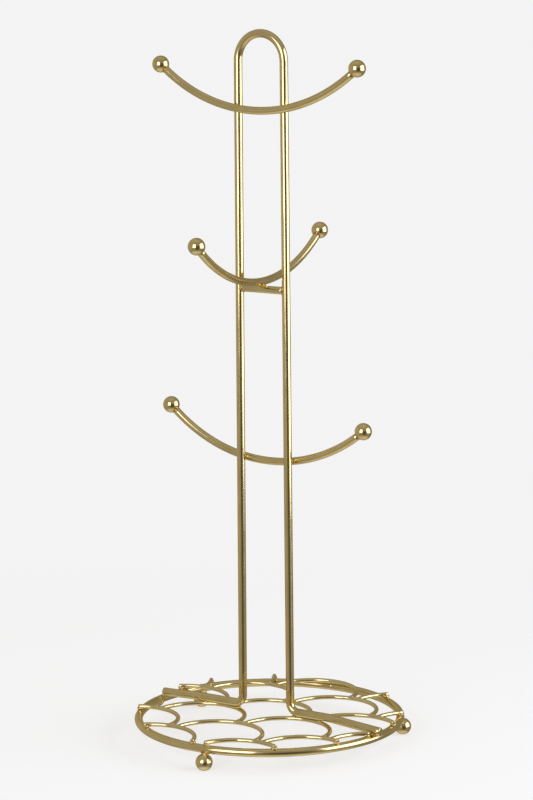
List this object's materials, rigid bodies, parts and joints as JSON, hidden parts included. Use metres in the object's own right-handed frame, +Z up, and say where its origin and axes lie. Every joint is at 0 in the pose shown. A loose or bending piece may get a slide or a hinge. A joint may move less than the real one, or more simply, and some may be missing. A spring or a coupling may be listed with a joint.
{
  "type": "mug tree",
  "caption": "Wire mug tree with curved ball-tipped arms on a tall looped upright, standing on a round fish-scale wire base with ball feet.",
  "frame": {"origin": "on the table, under the centre of the base ring", "axes": "+X along the plane of the two posts towards the right foot, +Y to the back, +Z up"},
  "size_m": [0.1677, 0.1688, 0.4307],
  "materials": {
    "frame_plating": "satin",
    "arm_plating": "satin",
    "scale_plating": "satin",
    "ball_plating": "gloss"
  },
  "bodies": {
    "root": {"base_ring": "frame_plating", "bottom_arm": "arm_plating", "bottom_ball_left": "ball_plating", "bottom_ball_right": "ball_plating", "foot_ball_1": "ball_plating", "foot_ball_2": "ball_plating", "foot_ball_3": "ball_plating", "middle_arm": "arm_plating", "middle_ball_back": "ball_plating", "middle_ball_front": "ball_plating", "middle_crossbar": "arm_plating", "scale_wire_01": "scale_plating", "scale_wire_02": "scale_plating", "scale_wire_03": "scale_plating", "scale_wire_04": "scale_plating", "scale_wire_05": "scale_plating", "scale_wire_06": "scale_plating", "scale_wire_07": "scale_plating", "scale_wire_08": "scale_plating", "scale_wire_09": "scale_plating", "scale_wire_10": "scale_plating", "scale_wire_11": "scale_plating", "scale_wire_12": "scale_plating", "scale_wire_13": "scale_plating", "scale_wire_14": "scale_plating", "scale_wire_15": "scale_plating", "scale_wire_16": "scale_plating", "scale_wire_17": "scale_plating", "scale_wire_18": "scale_plating", "scale_wire_19": "scale_plating", "top_arm": "arm_plating", "top_ball_left": "ball_plating", "top_ball_right": "ball_plating", "upright_loop": "frame_plating"}
  },
  "joints": []
}
